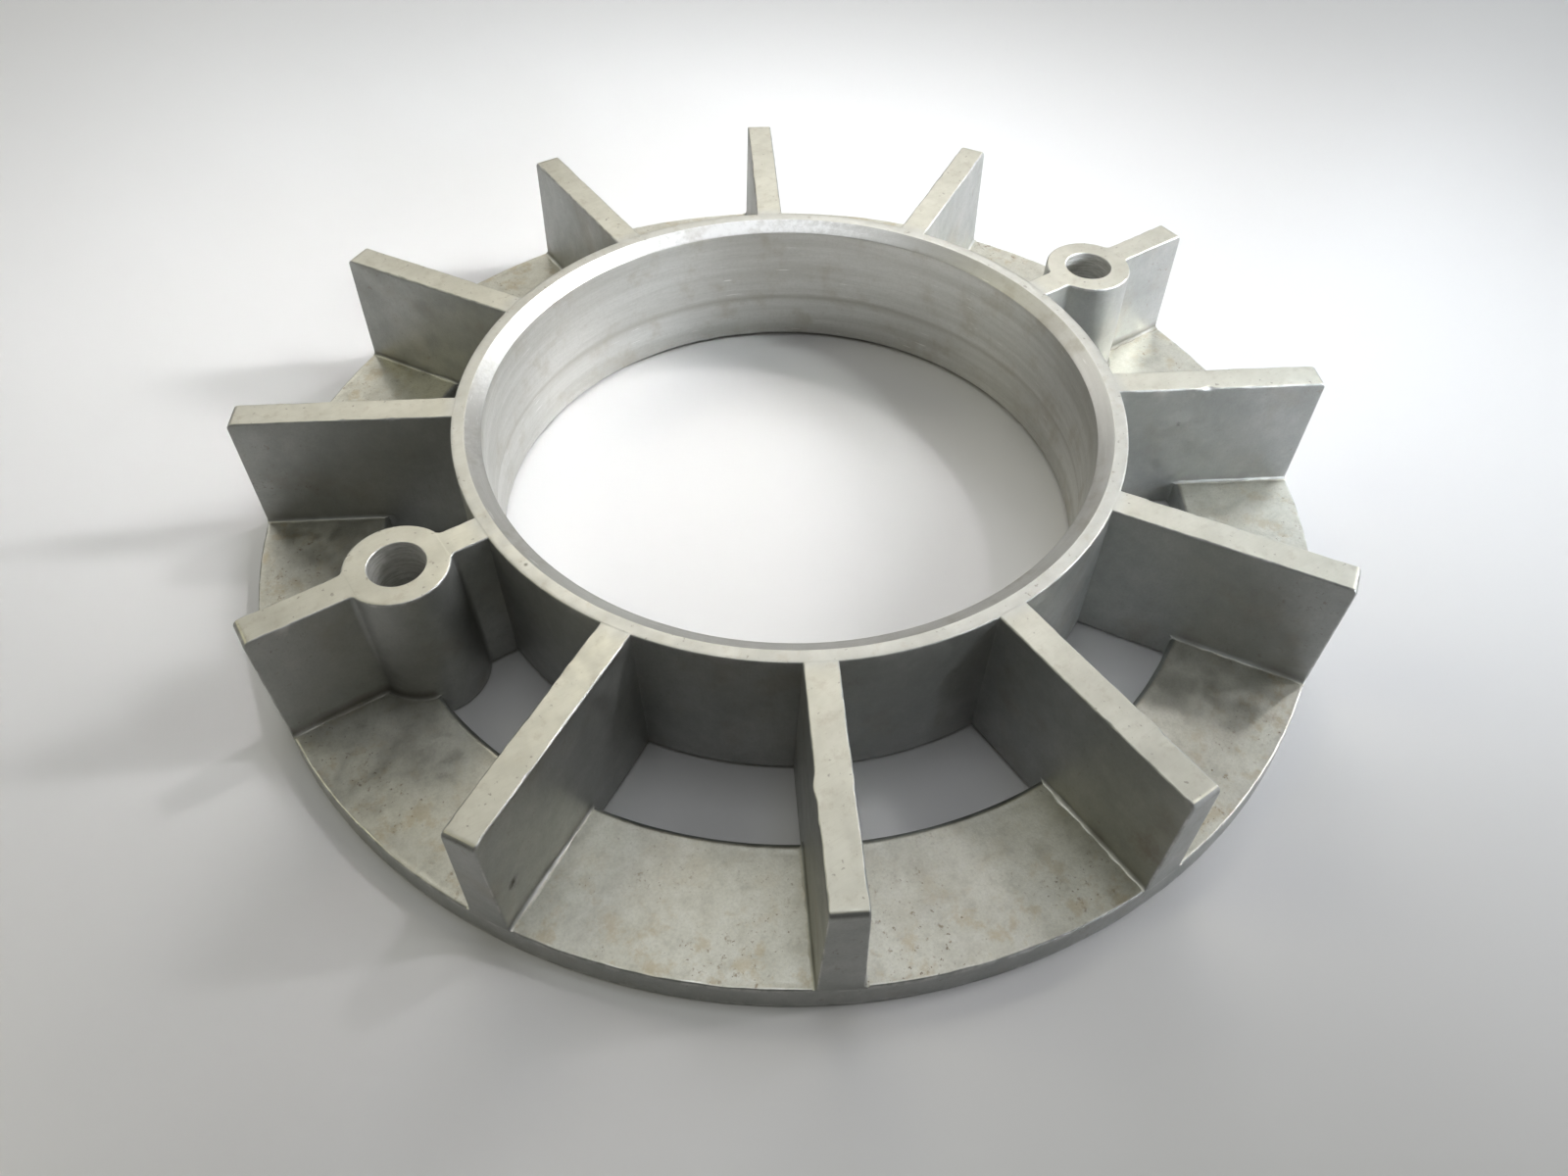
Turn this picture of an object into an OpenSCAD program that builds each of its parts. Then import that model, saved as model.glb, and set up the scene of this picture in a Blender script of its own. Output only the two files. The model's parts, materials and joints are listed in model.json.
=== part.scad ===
// Finned fan ring of a small-engine flywheel: one aluminium casting, drawn as its named regions.
// The axis is Z, the underside of the flange is z = 0, and the two boss fins lie along X.

/* [Overall] */
// Height from the underside of the flange to the fin tops and the hub land
total_h = 21.8; // [20:0.1:26]

/* [Flange] */
// Diameter of the flange at its underside
flange_od = 152.4; // [150:0.2:160]
// Inner diameter of the flange, where the air windows start
flange_id = 117.2; // [114:0.2:120]
// Thickness of the flange
flange_t = 4; // [3:0.1:6]
// How much smaller the rim's radius is at its top than at its underside
rim_taper = 0.3; // [0.1:0.05:0.6]
// Bevel on the edges of the flange
flange_bevel = 0.35; // [0.2:0.05:0.8]

/* [Hub] */
// Outer diameter of the hub at its top land
hub_od = 92; // [91:0.2:94]
// Diameter of the machined bore
bore_d = 84.4; // [80:0.2:84.6]
// Diameter of the lower stretch of the bore, below the step
register_d = 85; // [84.8:0.1:86]
// Depth of the step below the top land
step_depth = 13.5; // [9:0.1:16]
// Radial width of the lead-in chamfer at the top of the bore
lead_in_w = 2; // [1:0.1:2.6]
// Height of the lead-in chamfer
lead_in_h = 1.3; // [0.8:0.1:3]
// How far the hub's underside stands above the flange's underside
hub_lift = 0.3; // [0:0.1:3]
// Draft of the hub's outer wall, in degrees
hub_draft = 1; // [0.5:0.1:1.5]

/* [Fins] */
// Number of fins
fin_count = 12; // [8:2:14]
// Thickness of a fin at its top
fin_top_t = 4.1; // [3:0.1:5]
// Draft of each side of a fin, in degrees
fin_draft = 1.8; // [0.5:0.1:2.5]
// How much the fin ends lean in from the flange to the top
tip_taper = 0.3; // [0.1:0.05:1]
// Radius on the top outer corner of each fin
tip_round = 0.8; // [0.4:0.1:1.5]
// Radius of the fillets where a fin meets the flange
root_fillet = 0.5; // [0.3:0.1:1.2]

/* [Bosses] */
// Diameter of the circle that the screw bosses are on
boss_pcd = 113.5; // [112:0.1:116]
// Diameter of a boss at its top
boss_d = 12.9; // [11:0.1:14]
// Draft of the boss wall, in degrees
boss_draft = 1.8; // [0.5:0.1:2]
// Diameter of the screw hole through a boss
screw_d = 7; // [5:0.1:8]
// Bevel at both mouths of the screw hole
screw_bevel = 0.1; // [0.05:0.05:0.5]

/* [Hidden] */
$fn = 96;
cast_colour = "silver";
machined_colour = "gainsboro";

flange_r = flange_od / 2;
rim_top_r = flange_r - rim_taper;
window_r = flange_id / 2;
hub_r = hub_od / 2;
bore_r = bore_d / 2;
register_r = register_d / 2;
boss_orbit = boss_pcd / 2;
fin_pitch = 360 / fin_count;
// Half the thickness of a fin, and the radius of the hub and boss walls, at a height z
function fin_half(z) = fin_top_t / 2 + (total_h - z) * tan(fin_draft);
function hub_wall_r(z) = hub_r + (total_h - z) * tan(hub_draft);
function boss_wall_r(z) = boss_d / 2 + (total_h - z) * tan(boss_draft);
// Radius of the fin ends at a height z above the flange
function tip_r(z) = rim_top_r - tip_taper * (z - flange_t) / (total_h - flange_t);
// Height of the bore's step, and extra length that a cut runs past a face
step_z = total_h - step_depth;
bottom_bevel = 0.4;
over = 1;

// The fins are numbered anticlockwise from +X, and two opposite ones carry the bosses
function two_digits(i) = str(i < 10 ? "0" : "", i);
function fin_name(i) = str("fin_", two_digits(i));
function boss_name(i) = str("screw_boss_", i);
function web_name(i) = str("boss_web_", i);
function fin_angle(i) = (i - 1) * fin_pitch;
function has_boss(i) = i == 1 || i == fin_count / 2 + 1;

// The flange as a full ring, before the bosses are let into it
module flange_blank() {
    rotate_extrude()
        polygon([
            [window_r + flange_bevel, 0],
            [flange_r - flange_bevel, 0],
            [flange_r, flange_bevel],
            [rim_top_r, flange_t - flange_bevel],
            [rim_top_r - flange_bevel, flange_t],
            [window_r + flange_bevel, flange_t],
            [window_r, flange_t - flange_bevel],
            [window_r, flange_bevel]
        ]);
}

// The outer shape of a boss, standing on the X axis at the boss circle
module boss_blank() {
    translate([boss_orbit, 0, 0])
        cylinder(h = total_h, r1 = boss_wall_r(0), r2 = boss_wall_r(total_h));
}

module flange_ring() {
    color(cast_colour)
        difference() {
            flange_blank();
            for (side = [0, 180])
                rotate([0, 0, side])
                    boss_blank();
        }
}

// The hub ring: a drafted outer wall, a flat top land, a lead-in chamfer and a stepped bore
module hub_ring() {
    color(machined_colour)
        rotate_extrude()
            polygon([
                [register_r + bottom_bevel, hub_lift],
                [hub_wall_r(hub_lift), hub_lift],
                [hub_r, total_h],
                [bore_r + lead_in_w, total_h],
                [bore_r, total_h - lead_in_h],
                [bore_r, step_z],
                [register_r, step_z],
                [register_r, hub_lift + bottom_bevel]
            ]);
}

// One boss with its screw hole, bevelled at both mouths
module screw_boss(side) {
    color(cast_colour)
        rotate([0, 0, side])
            difference() {
                boss_blank();
                translate([boss_orbit, 0, 0])
                    screw_hole();
            }
}

module screw_hole() {
    hole_r = screw_d / 2;
    translate([0, 0, -over])
        cylinder(h = total_h + 2 * over, r = hole_r);
    cylinder(h = screw_bevel, r1 = hole_r + screw_bevel, r2 = hole_r);
    translate([0, 0, total_h - screw_bevel])
        cylinder(h = screw_bevel, r1 = hole_r, r2 = hole_r + screw_bevel);
}

// Cross-section of a fin: a tall trapezium with its draft on both sides
module fin_section() {
    polygon([
        [-fin_half(0), 0],
        [fin_half(0), 0],
        [fin_half(total_h), total_h],
        [-fin_half(total_h), total_h]
    ]);
}

// Cross-section of a fin with the two fillets at its foot, tangent to the flange and the fin
module footed_section() {
    foot_y = fin_half(flange_t) + root_fillet * (1 - sin(fin_draft)) / cos(fin_draft);
    foot_z = flange_t + root_fillet;
    side_y = foot_y - root_fillet * cos(fin_draft);
    side_z = foot_z - root_fillet * sin(fin_draft);
    difference() {
        polygon([
            [-foot_y, flange_t],
            [foot_y, flange_t],
            [foot_y, foot_z],
            [side_y, side_z],
            [fin_half(total_h), total_h],
            [-fin_half(total_h), total_h],
            [-side_y, side_z],
            [-foot_y, foot_z]
        ]);
        for (side = [-1, 1])
            translate([side * foot_y, foot_z])
                circle(r = root_fillet);
    }
}

// A section drawn in Y and Z, run outwards along X from one radius to another
module run_outwards(from_r, to_r) {
    translate([from_r, 0, 0])
        rotate([90, 0, 90])
            linear_extrude(height = to_r - from_r)
                children();
}

// The space the fins fill: the depth of the window, then everything above the flange
module fin_space() {
    lean = atan(tip_taper / (total_h - flange_t));
    round_z = total_h - tip_round;
    round_r = tip_r(round_z) - tip_round / cos(lean);
    rotate_extrude()
        union() {
            polygon([
                [hub_wall_r(0), 0],
                [window_r + flange_bevel, 0],
                [window_r, flange_bevel],
                [window_r, flange_t - flange_bevel],
                [window_r + flange_bevel, flange_t],
                [rim_top_r - flange_bevel, flange_t],
                [rim_top_r, flange_t],
                [round_r + tip_round * cos(lean), round_z + tip_round * sin(lean)],
                [round_r, total_h],
                [hub_wall_r(total_h), total_h]
            ]);
            translate([round_r, round_z])
                circle(r = tip_round);
        }
}

// One fin along X: full depth across the window, and standing on the flange beyond it
module fin_blank() {
    intersection() {
        union() {
            run_outwards(hub_r - over, window_r + 2 * over)
                fin_section();
            run_outwards(window_r + over, flange_r + over)
                footed_section();
        }
        fin_space();
    }
}

// The outer half of a boss fin is its blade, and the inner half is the web that carries the boss
module beyond_boss() {
    translate([boss_orbit, -flange_r, -over])
        cube([flange_r, flange_od, total_h + 2 * over]);
}

module fin(i) {
    color(cast_colour)
        rotate([0, 0, fin_angle(i)])
            if (has_boss(i))
                difference() {
                    intersection() {
                        fin_blank();
                        beyond_boss();
                    }
                    boss_blank();
                }
            else
                fin_blank();
}

module boss_web(side) {
    color(cast_colour)
        rotate([0, 0, side])
            difference() {
                fin_blank();
                beyond_boss();
                boss_blank();
            }
}

flange_ring();
hub_ring();
for (i = [1 : 2])
    screw_boss((i - 1) * 180);
for (i = [1 : 2])
    boss_web((i - 1) * 180);
for (i = [1 : fin_count])
    fin(i);
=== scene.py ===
import json
import math

import bpy
import numpy as np
from mathutils import Matrix, Vector, noise


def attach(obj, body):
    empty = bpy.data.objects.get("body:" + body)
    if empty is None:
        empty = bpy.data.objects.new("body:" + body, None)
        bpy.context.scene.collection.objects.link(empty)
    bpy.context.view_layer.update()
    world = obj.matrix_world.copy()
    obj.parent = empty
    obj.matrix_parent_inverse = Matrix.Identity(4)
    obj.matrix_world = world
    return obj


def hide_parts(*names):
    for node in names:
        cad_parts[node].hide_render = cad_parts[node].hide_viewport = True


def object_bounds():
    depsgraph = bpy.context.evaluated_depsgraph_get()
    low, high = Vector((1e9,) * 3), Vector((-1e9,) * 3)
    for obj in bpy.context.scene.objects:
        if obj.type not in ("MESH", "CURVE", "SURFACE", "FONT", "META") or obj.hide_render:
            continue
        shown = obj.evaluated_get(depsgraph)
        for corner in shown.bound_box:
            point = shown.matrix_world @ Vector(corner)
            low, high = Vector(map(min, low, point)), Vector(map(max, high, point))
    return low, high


# A flywheel's finned fan ring, one aluminium casting shown region by region: the hub is turned bright,
# the tops are linished and everything else keeps its cast skin. Lengths are in metres.

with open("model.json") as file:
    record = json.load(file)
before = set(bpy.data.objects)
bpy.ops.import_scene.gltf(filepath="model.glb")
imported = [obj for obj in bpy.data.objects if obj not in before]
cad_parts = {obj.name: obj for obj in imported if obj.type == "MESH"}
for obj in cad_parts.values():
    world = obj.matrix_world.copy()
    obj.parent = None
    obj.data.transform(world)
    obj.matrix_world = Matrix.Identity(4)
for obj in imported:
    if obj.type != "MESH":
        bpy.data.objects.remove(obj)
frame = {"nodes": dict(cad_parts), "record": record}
cad_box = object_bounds()

MM = 0.001
# Points of the CAD that are nearer than this to a height or radius are taken to lie on it
NEAR = 0.02 * MM


# ---------------------------------------------------------------- sizes, all read from the frame

def node_points(name):
    """The vertices of a CAD node as an array with one row each."""
    return np.array([v.co for v in frame["nodes"][name].data.vertices], float)


def half_width(points, axis, height):
    """Half the width along an axis of the points that lie at one height."""
    level = points[np.abs(points[:, 2] - height) < NEAR]
    return (level[:, axis].max() - level[:, axis].min()) / 2


MOUNTS = {m["name"]: m for m in frame["record"]["mounts"]}
TOP = cad_box[1].z
FIN_NAMES = sorted(n for n in frame["nodes"] if n.startswith("fin_"))
BOSS_FINS = (FIN_NAMES[0], FIN_NAMES[len(FIN_NAMES) // 2])
PITCH = 2 * math.pi / len(FIN_NAMES)

flange_points = node_points("flange_ring")
flange_radii = np.hypot(flange_points[:, 0], flange_points[:, 1])
FLANGE_TOP = flange_points[:, 2].max()
FLANGE_R = flange_radii.max()
WINDOW_R = flange_radii.min()
RIM_TOP_R = flange_radii[flange_points[:, 2] > FLANGE_TOP / 2].max()

hub_points = node_points("hub_ring")
hub_heights = hub_points[:, 2]
hub_radii = np.hypot(hub_points[:, 0], hub_points[:, 1])
HUB_FOOT = hub_heights.min()
HUB_TOP_R = half_width(hub_points, 0, TOP)
HUB_FOOT_R = half_width(hub_points, 0, HUB_FOOT)
HUB_DRAFT = (HUB_FOOT_R - HUB_TOP_R) / (TOP - HUB_FOOT)
BORE_R = MOUNTS["centre_bore"]["dims"]["r_mm"] * MM
bore_heights = hub_heights[np.abs(hub_radii - BORE_R) < NEAR]
STEP_Z = bore_heights.min()
LEAD_IN_Z = bore_heights.max()
inside_hub = hub_radii < HUB_TOP_R - 2 * MM
REGISTER_R = hub_radii[(np.abs(hub_heights - STEP_Z) < NEAR) & inside_hub].max()
LAND_R = hub_radii[hub_heights > TOP - NEAR].min()

# fin_04 stands along +Y
fin_points = node_points("fin_04")
FIN_TOP_HALF = half_width(fin_points, 0, TOP)
FIN_FOOT_HALF = half_width(fin_points, 0, 0.0)
FIN_DRAFT = (FIN_FOOT_HALF - FIN_TOP_HALF) / TOP
TIP_LOW_R = fin_points[:, 1].max()
TIP_TOP_R = fin_points[fin_points[:, 2] > TOP - 1.5 * MM][:, 1].max()

# screw_boss_1 stands on +X
boss_points = node_points("screw_boss_1")
BOSS_ORBIT = MOUNTS["boss_holes"]["dims"]["pcd_mm"] * MM / 2
HOLE_R = MOUNTS["boss_holes"]["dims"]["hole_r_mm"] * MM
BOSS_TOP_R = half_width(boss_points, 1, TOP)
BOSS_FOOT_R = half_width(boss_points, 1, 0.0)

# Fillets where the fins and bosses stand on the flange, and blends where the fins meet round walls
FOOT_FILLET = 0.5 * MM
HUB_BLEND = 0.08 * MM
BOSS_BLEND = 0.9 * MM
# Rounding of a fin's upper edges, of its lower edges across the window, and of its top outer corner
EDGE = 0.26 * MM
LOW_EDGE = 0.7 * MM
TIP_CORNER = 0.8 * MM
# Radius of the rim at its foot, a little inside the CAD's so that scuffs stay within it
RIM_FOOT_R = FLANGE_R - 0.03 * MM
# How deep a fin's end is let into the round wall beside it
LET_IN = 0.45 * MM
# How far the tops of the hub and bosses lie below the fins' tops, so that no two faces share a place
FLUSH = 0.004 * MM


def fin_half(z):
    """Half the thickness of a fin at a height. The next three give radii at a height in the same way."""
    return FIN_TOP_HALF + (TOP - z) * FIN_DRAFT


def hub_wall(z):
    return HUB_TOP_R + (TOP - z) * HUB_DRAFT


def boss_wall(z):
    return BOSS_TOP_R + (TOP - z) * (BOSS_FOOT_R - BOSS_TOP_R) / TOP


def tip_wall(z):
    return TIP_TOP_R + (TIP_LOW_R - TIP_TOP_R) * (TOP - z) / (TOP - FLANGE_TOP)


def fillet_flare(z):
    """How far the foot fillet stands out from its wall at a height."""
    rise = FLANGE_TOP + FOOT_FILLET - max(z, FLANGE_TOP)
    return FOOT_FILLET - math.sqrt(max(0.0, FOOT_FILLET ** 2 - rise ** 2))


# ---------------------------------------------------------------- mesh helpers

# Faces that meet at more than this angle are shaded with a sharp edge
SHARP_ANGLE = math.radians(38)


def spread(start, stop, steps):
    """Evenly spaced values from start to stop, both included."""
    return [start + (stop - start) * i / steps for i in range(steps + 1)]


def within(value, low=0.0, high=1.0):
    """The value, held between low and high."""
    return min(high, max(low, value))


def at_angle(radius, angle, z=0.0):
    """A place given by its distance from Z, its angle about Z and its height."""
    return (radius * math.cos(angle), radius * math.sin(angle), z)


def quarter(radius, steps):
    """(distance from the edge, depth below the face) along a quarter round, from the edge inwards."""
    angles = spread(0, math.pi / 2, steps)
    return [(radius * (1 - math.cos(a)), radius * (1 - math.sin(a))) for a in angles]


def fillet_heights():
    """Heights of the rows of points up the foot fillet."""
    return [FLANGE_TOP + FOOT_FILLET * (1 - math.cos(a)) for a in spread(0, math.pi / 2, 5)]


def wobble(point, size, seed=0.0):
    """Smooth noise between -1 and 1 with features of about the given size."""
    return noise.noise(Vector(point) / size + Vector((seed, 1.7 * seed, 0.3 * seed)))


def make_piece(name, mesh_data, node, materials, choose=None):
    """A piece that stands for a CAD node, from its (points, faces, wear_and_shade). This is 1 on edges that
    are rubbed bright and below 0 in corners painted with shade. choose picks the material of a face."""
    points, faces, wear_and_shade = mesh_data
    mesh = bpy.data.meshes.new(name)
    mesh.from_pydata([tuple(p) for p in points], [], faces)
    mesh.validate()
    mesh.shade_smooth()
    mesh.set_sharp_from_angle(angle=SHARP_ANGLE)
    for material in materials:
        mesh.materials.append(material)
    layer = mesh.attributes.new("wear_and_shade", "FLOAT", "POINT")
    layer.data.foreach_set("value", np.array(wear_and_shade, np.float32))
    if choose is not None:
        for polygon in mesh.polygons:
            polygon.material_index = choose(polygon)
    piece = bpy.data.objects.new(name, mesh)
    bpy.context.scene.collection.objects.link(piece)
    even = piece.modifiers.new("even_shading", "WEIGHTED_NORMAL")
    even.keep_sharp = True
    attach(piece, "root")
    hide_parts(node)
    return piece


def lathe(section_at, segments):
    """A closed ring: section_at(angle) gives the section as (radius, z, wear_and_shade) points, always as
    many.
    """
    angles = [2 * math.pi * j / segments for j in range(segments)]
    sections = [section_at(angle) for angle in angles]
    rows = len(sections[0])
    points = []
    wear_and_shade = []
    for i in range(rows):
        for angle, section in zip(angles, sections):
            radius, z, worn = section[i]
            points.append((radius * math.cos(angle), radius * math.sin(angle), z))
            wear_and_shade.append(worn)
    faces = []
    for i in range(rows):
        here = i * segments
        above = (i + 1) % rows * segments
        for j in range(segments):
            k = (j + 1) % segments
            faces.append((here + j, here + k, above + k, above + j))
    return points, faces, wear_and_shade


def corner_arc(before, corner, after, radius, steps):
    """Points along the arc that rounds a corner, tangent to the lines to its neighbours."""
    here = Vector(corner)
    to_last = (Vector(before) - here).normalized()
    to_next = (Vector(after) - here).normalized()
    half_angle = to_last.angle(to_next) / 2
    centre = here + (to_last + to_next).normalized() * radius / math.sin(half_angle)
    start = here + to_last * radius / math.tan(half_angle) - centre
    stop = here + to_next * radius / math.tan(half_angle) - centre
    arc = []
    for angle in spread(0, -start.angle_signed(stop), steps):
        c = math.cos(angle)
        s = math.sin(angle)
        arc.append(centre + Vector((start.x * c - start.y * s, start.x * s + start.y * c)))
    return arc


def rounded_section(corners):
    """A closed section as (radius, z, wear), from corners (radius, z, rounding, steps to the next one)."""
    count = len(corners)
    arcs = []
    for i, (radius, z, rounding, _) in enumerate(corners):
        before = corners[i - 1][:2]
        after = corners[(i + 1) % count][:2]
        arcs.append(corner_arc(before, (radius, z), after, rounding, 5))
    section = []
    for i, corner in enumerate(corners):
        section += [(p.x, p.y, 1.0) for p in arcs[i]]
        begin = arcs[i][-1]
        end = arcs[(i + 1) % count][0]
        for share in spread(0, 1, corner[3])[1:-1]:
            p = begin.lerp(end, share)
            section.append((p.x, p.y, 0.0))
    return section


def is_top(polygon):
    """1 for a face of the linished top, and 0 for any other."""
    return 1 if polygon.normal.z > 0.93 and polygon.center.z > TOP - 0.3 * MM else 0


# ---------------------------------------------------------------- the hub and the flange

HUB_SEGMENTS = 480
FLANGE_SEGMENTS = 720
BOSS_SEGMENTS = 128


def build_hub(materials):
    """The turned ring: drafted wall, flat land, lead-in chamfer and a bore with a faint step."""
    step_round = 0.1 * MM
    foot_bevel = 0.4 * MM
    corners = [
        (REGISTER_R + foot_bevel, HUB_FOOT, 0.15 * MM, 2),
        (HUB_FOOT_R, HUB_FOOT, 0.4 * MM, 18),
        (HUB_TOP_R, TOP - FLUSH, 0.2 * MM, 4),
        (LAND_R, TOP - FLUSH, 0.12 * MM, 4),
        (BORE_R, LEAD_IN_Z, 0.12 * MM, 14),
        (BORE_R, STEP_Z, step_round, 1),
        (REGISTER_R, STEP_Z - step_round, step_round, 8),
        (REGISTER_R, HUB_FOOT + foot_bevel, 0.15 * MM, 1),
    ]
    outer_wear = 0.25
    section = []
    for radius, z, worn in rounded_section(corners):
        section.append((radius, z, worn if radius < LAND_R + 1 * MM else outer_wear * worn))

    def choose(polygon):
        radius = math.hypot(polygon.center.x, polygon.center.y)
        if radius > hub_wall(polygon.center.z) - 0.12 * MM:
            return 1
        return 2 if is_top(polygon) and radius > LAND_R - 0.05 * MM else 0
    ring = lathe(lambda angle: section, HUB_SEGMENTS)
    return make_piece("hub", ring, "hub_ring", materials, choose)


def notch_radius(angle):
    """Where the flange ends under a boss, measured from the hub's axis, or 0 away from the bosses."""
    folded = (angle + math.pi / 2) % math.pi - math.pi / 2
    reach = BOSS_TOP_R - 1.0 * MM
    inside = reach ** 2 - (BOSS_ORBIT * math.sin(folded)) ** 2
    return BOSS_ORBIT * math.cos(folded) + math.sqrt(inside) if inside > 0 else 0.0


def window_side(inner):
    """The flange's inner side from its underside to its top, with both edges rounded."""
    side = [(inner + out, down, 0.0) for out, down in quarter(0.35 * MM, 4)][::-1]
    side += [(inner, z, 0.0) for z in spread(0.5 * MM, FLANGE_TOP - 1.1 * MM, 4)]
    side += [(inner + out, FLANGE_TOP - down, 0.0) for out, down in quarter(0.9 * MM, 7)]
    return side


def flange_face(angle, start, stop):
    """The flange's top, slightly uneven as cast."""
    unevenness = 0.016 * MM
    face = []
    for radius in spread(start, stop, 26):
        lift = unevenness * wobble(at_angle(radius, angle), 5 * MM, 1.0)
        face.append((radius, FLANGE_TOP + lift - unevenness, 0.0))
    return face


def rim_side(angle, top_edge, foot_edge):
    """The rim from its upper edge to its lower one, a little scuffed between them."""
    side = []
    for out, down in quarter(top_edge, 4)[::-1]:
        side.append((RIM_TOP_R - out, FLANGE_TOP - down, 0.6))
    for share in spread(0, 1, 5)[1:-1]:
        z = FLANGE_TOP * (1 - share)
        radius = RIM_TOP_R + (RIM_FOOT_R - RIM_TOP_R) * share
        scuff = 0.02 * MM * wobble(at_angle(radius, angle, z), 1.6 * MM, 7.0)
        side.append((radius + scuff, z, 0.0))
    side += [(RIM_FOOT_R - out, down, 1.0) for out, down in quarter(foot_edge, 4)]
    return side


def flange_section(angle):
    """The flange's section at an angle, with unevenly worn edges at the rim."""
    inner = max(WINDOW_R, notch_radius(angle))
    around = at_angle(FLANGE_R, angle)
    top_edge = EDGE * (0.95 + 0.5 * wobble(around, 2.5 * MM, 3.0) + 0.3 * wobble(around, 9 * MM, 5.0))
    foot_edge = EDGE * (1.2 + 0.5 * wobble(around, 3.5 * MM, 9.0))
    section = window_side(inner)
    section += flange_face(angle, inner + 1.1 * MM, RIM_TOP_R - top_edge - 0.15 * MM)
    section += rim_side(angle, top_edge, foot_edge)
    section += [(radius, 0.0, 0.0) for radius in spread(RIM_FOOT_R - 1 * MM, inner + 1 * MM, 12)]
    return section


def build_flange(materials):
    """The flat ring, open under each boss."""
    ring = lathe(flange_section, FLANGE_SEGMENTS)
    return make_piece("flange", ring, "flange_ring", materials)


# ---------------------------------------------------------------- the fins and webs

# Steps round the blend between a rib and a round wall
BLEND_STEPS = 8
# The gap to the tip of a point that the tip's rounding doesn't reach
FAR = 1.0
# How much painted shade the foot fillets get: on plain fins it is broken up by noise, at a boss it covers
# them all
FIN_FOOT_SHADE = 0.05
BOSS_FOOT_SHADE = 1.0
# How bright a burr is rubbed. Above 1, it is bright over most of its width
BURR_WEAR = 1.6

# Raised burrs on the top edges of single fins: radius, side, height and half-width
BURRS = {
    "fin_09": [(61.5 * MM, -1, 0.38 * MM, 1.3 * MM), (65.5 * MM, -1, 0.15 * MM, 0.8 * MM)],
    "fin_10": [(66.0 * MM, 1, 0.14 * MM, 1.6 * MM)],
    "fin_08": [(74.9 * MM, 1, 0.16 * MM, 0.6 * MM)],
    "fin_07": [(75.5 * MM, 1, 0.12 * MM, 0.5 * MM), (71.0 * MM, 1, 0.08 * MM, 0.8 * MM)],
    "fin_11": [(75.3 * MM, 1, 0.14 * MM, 0.5 * MM)],
    "fin_12": [(52.0 * MM, -1, 0.10 * MM, 0.9 * MM), (57.0 * MM, -1, 0.12 * MM, 0.6 * MM)],
}


def blend_outline(centre, wall, blend, z, outwards):
    """One side of a rib where it flares into a round wall, as (x, y, outward normal) from the wall
    to the rib's flat side. outwards is 1 where the rib leaves the wall along +X, and -1 along -X."""
    half = fin_half(z)
    radius = wall(z)
    side = math.sqrt((radius + blend) ** 2 - (half + blend) ** 2)
    widest = math.atan2(side, half + blend)
    outline = []
    for turn in spread(widest, 0, BLEND_STEPS):
        normal = (outwards * math.sin(turn), math.cos(turn))
        x = centre + outwards * (side - blend * math.sin(turn))
        outline.append((x, half + blend - blend * math.cos(turn), normal))
    depth = LET_IN if z > HUB_FOOT + 0.2 * MM else 0
    share = (radius - depth) / (radius + blend)
    start = (centre + outwards * side * share, (half + blend) * share, outline[0][2])
    return [start] + outline


def bulge(x, where, width):
    """1 at a place along a rib, falling smoothly to 0 beyond the given half-width."""
    return math.exp(-((x - where) / width) ** 2)


def rim_of(quads):
    """The edges that only one quad has, each in its quad's direction."""
    edges = {}
    for quad in quads:
        for a, b in zip(quad, quad[1:] + quad[:1]):
            edges[(a, b)] = True
    return [(a, b) for a, b in edges if (b, a) not in edges]


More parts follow.
